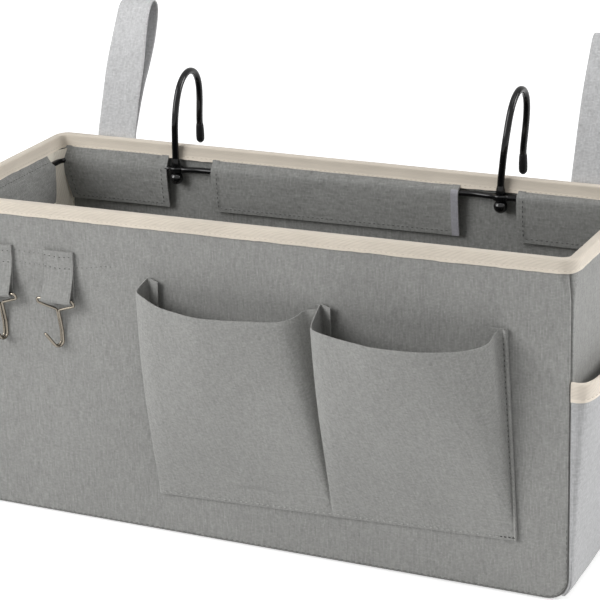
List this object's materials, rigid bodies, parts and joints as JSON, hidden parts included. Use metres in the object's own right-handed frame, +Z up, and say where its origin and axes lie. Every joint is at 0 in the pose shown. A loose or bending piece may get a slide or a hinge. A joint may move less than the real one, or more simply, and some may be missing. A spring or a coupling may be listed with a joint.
{
  "type": "bedside caddy",
  "caption": "Lined fabric bedside caddy with bound rim, bellows front pockets, side pockets, key hooks on tabs, webbing straps and swivelling hanger hooks on a wire frame.",
  "frame": {"origin": "middle of the flat base, on the surface that the caddy stands on", "axes": "+X to the right along the front, +Y from the front to the back, +Z up"},
  "size_m": [0.4282, 0.2231, 0.283],
  "materials": {
    "grey_linen": "warm mid-grey plain weave with slubs, linen look",
    "pocket_linen": "smooth warm mid-grey plain weave, slightly lighter than the panels",
    "lining_linen": "mid-grey plain weave",
    "pale_webbing": "light cool grey coarse plain weave",
    "cream_tape": "ivory herringbone twill tape",
    "stiffener_board": "plain grey-brown board",
    "black_wire": "gloss black coated steel wire",
    "black_rubber": "satin black dipped rubber",
    "nickel_wire": "nickel-plated bright wire"
  },
  "bodies": {
    "caddy_box": {"front_panel": "grey_linen", "back_panel": "grey_linen", "gusset_strip": "grey_linen", "front_board": "stiffener_board", "back_board": "stiffener_board", "left_board": "stiffener_board", "right_board": "stiffener_board", "base_board": "stiffener_board", "front_lining": "lining_linen", "back_lining": "lining_linen", "lining_gusset": "lining_linen", "seam_tape_front": "cream_tape", "seam_tape_back": "cream_tape", "rim_binding": "cream_tape", "wire_frame": "black_wire", "rod_sleeve_left": "lining_linen", "rod_sleeve_middle": "lining_linen", "rod_sleeve_right": "lining_linen", "rod_channel_left": "lining_linen", "rod_channel_front": "lining_linen", "rod_channel_right": "lining_linen", "front_pocket_left": "pocket_linen", "front_pocket_right": "pocket_linen", "side_pocket_left": "pale_webbing", "side_pocket_right": "pale_webbing", "side_pocket_binding_left": "cream_tape", "side_pocket_binding_right": "cream_tape", "key_tab_left": "pocket_linen", "key_tab_right": "pocket_linen", "strap_anchor_left": "pale_webbing", "strap_anchor_right": "pale_webbing"},
    "left_hanger": {"hanger_hook_left": "black_wire", "hook_ball_left": "black_wire", "hook_cap_left": "black_rubber"},
    "right_hanger": {"hanger_hook_right": "black_wire", "hook_ball_right": "black_wire", "hook_cap_right": "black_rubber"},
    "left_key_hook": {"key_hook_left": "nickel_wire"},
    "right_key_hook": {"key_hook_right": "nickel_wire"},
    "left_strap": {"strap_left": "pale_webbing"},
    "right_strap": {"strap_right": "pale_webbing"}
  },
  "joints": [
    {"name": "left_hanger_swivel", "type": "hinge", "parent": "caddy_box", "child": "left_hanger", "pos_m": [-0.11, 0.0638, 0.188], "axis": [0, 0, 1], "range_deg": [-50, 50]},
    {"name": "right_hanger_swivel", "type": "hinge", "parent": "caddy_box", "child": "right_hanger", "pos_m": [0.11, 0.0638, 0.188], "axis": [0, 0, 1], "range_deg": [-46, 54]},
    {"name": "left_key_hook_swing", "type": "hinge", "parent": "caddy_box", "child": "left_key_hook", "pos_m": [-0.1618, -0.0782, 0.143], "axis": [-1, 0, 0], "range_deg": [0, 110]},
    {"name": "right_key_hook_swing", "type": "hinge", "parent": "caddy_box", "child": "right_key_hook", "pos_m": [-0.1183, -0.0782, 0.143], "axis": [-1, 0, 0], "range_deg": [0, 110]},
    {"name": "left_strap_fold", "type": "hinge", "parent": "caddy_box", "child": "left_strap", "pos_m": [-0.158, 0.07465, 0.20165], "axis": [-1, 0, 0], "range_deg": [-75, 70]},
    {"name": "right_strap_fold", "type": "hinge", "parent": "caddy_box", "child": "right_strap", "pos_m": [0.1645, 0.07465, 0.20165], "axis": [-1, 0, 0], "range_deg": [-75, 70]}
  ]
}
